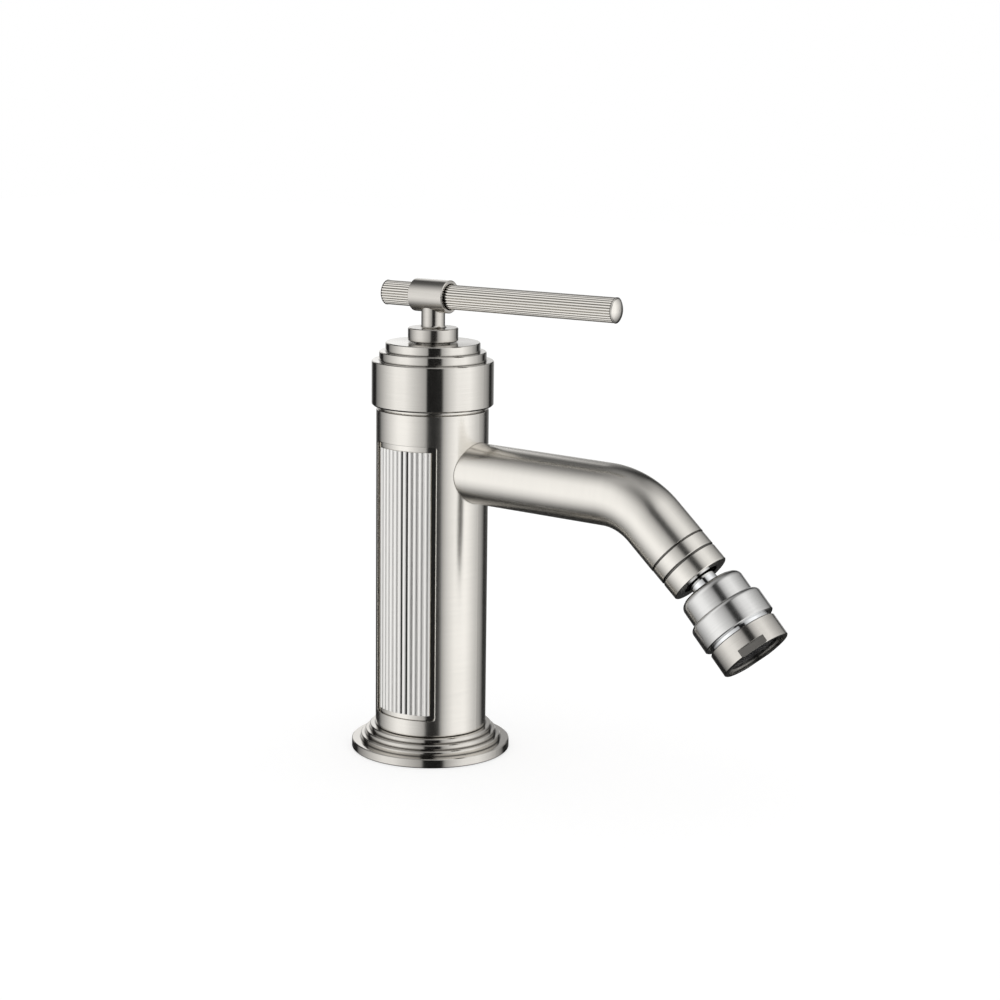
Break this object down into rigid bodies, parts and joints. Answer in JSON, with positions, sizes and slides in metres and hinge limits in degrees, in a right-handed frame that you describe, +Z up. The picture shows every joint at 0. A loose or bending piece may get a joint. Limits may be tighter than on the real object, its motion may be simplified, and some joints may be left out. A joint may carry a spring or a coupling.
{
  "type": "bidet mixer tap",
  "caption": "Bidet mixer tap: fluted round column on a stepped base, stepped cap with a reeded T-bar lever, bent spout and an aerator on a ball joint.",
  "frame": {"origin": "centre of the underside of the base, on the basin's deck", "axes": "+Z up along the column, +X along the spout towards the bowl, +Y to the left seen along +X"},
  "size_m": [0.169, 0.0572, 0.1701],
  "materials": {
    "brushed_nickel": "fine brushed nickel plating",
    "polished_chrome": "polished",
    "turned_brass": "as turned",
    "seal_rubber": "moulded",
    "cartridge_resin": "moulded",
    "seat_resin": "turned",
    "disc_ceramic": "lapped",
    "screw_steel": "plain",
    "screen_steel": "woven look"
  },
  "bodies": {
    "root": {"column_body": "brushed_nickel", "base_flange": "brushed_nickel", "deck_gasket": "seal_rubber", "left_fluted_panel": "brushed_nickel", "right_fluted_panel": "brushed_nickel", "stepped_cap": "brushed_nickel", "cartridge_nut": "turned_brass", "cartridge_housing": "cartridge_resin", "cartridge_base": "cartridge_resin", "cartridge_base_seals": "seal_rubber", "fixed_ceramic_disc": "disc_ceramic", "spout_tube": "brushed_nickel", "spout_seal_ring": "seal_rubber", "spout_grub_screw": "screw_steel", "spout_end_ring": "brushed_nickel", "ball_collar": "brushed_nickel", "stud_gasket": "seal_rubber", "ball_stud": "polished_chrome"},
    "lever": {"moving_ceramic_disc": "disc_ceramic", "spindle": "turned_brass", "spindle_seal": "seal_rubber", "lever_hub": "brushed_nickel", "lever_rod": "brushed_nickel", "rod_grub_screw": "screw_steel", "hub_grub_screw": "screw_steel"},
    "seat": {"ball_seat": "seat_resin"},
    "head": {"swivel_body": "brushed_nickel", "ball_retainer": "turned_brass", "ball_seal": "seal_rubber", "aerator_gasket": "seal_rubber", "aerator_cup": "brushed_nickel", "aerator_insert": "cartridge_resin", "aerator_screen": "screen_steel"}
  },
  "joints": [
    {"name": "lever_turn", "type": "hinge", "parent": "root", "child": "lever", "pos_m": [0, 0, 0.16429], "axis": [0, 0, 1], "range_deg": [0, 115]},
    {"name": "swivel_spin", "type": "hinge", "parent": "root", "child": "seat", "pos_m": [0.11491, 0, 0.07204], "axis": [0.7337, 0, -0.6794], "continuous": true},
    {"name": "swivel_tilt", "type": "hinge", "parent": "seat", "child": "head", "pos_m": [0.11491, 0, 0.07204], "axis": [-0.4887, 0.6947, -0.5278], "range_deg": [-22.7, 13.3]}
  ]
}
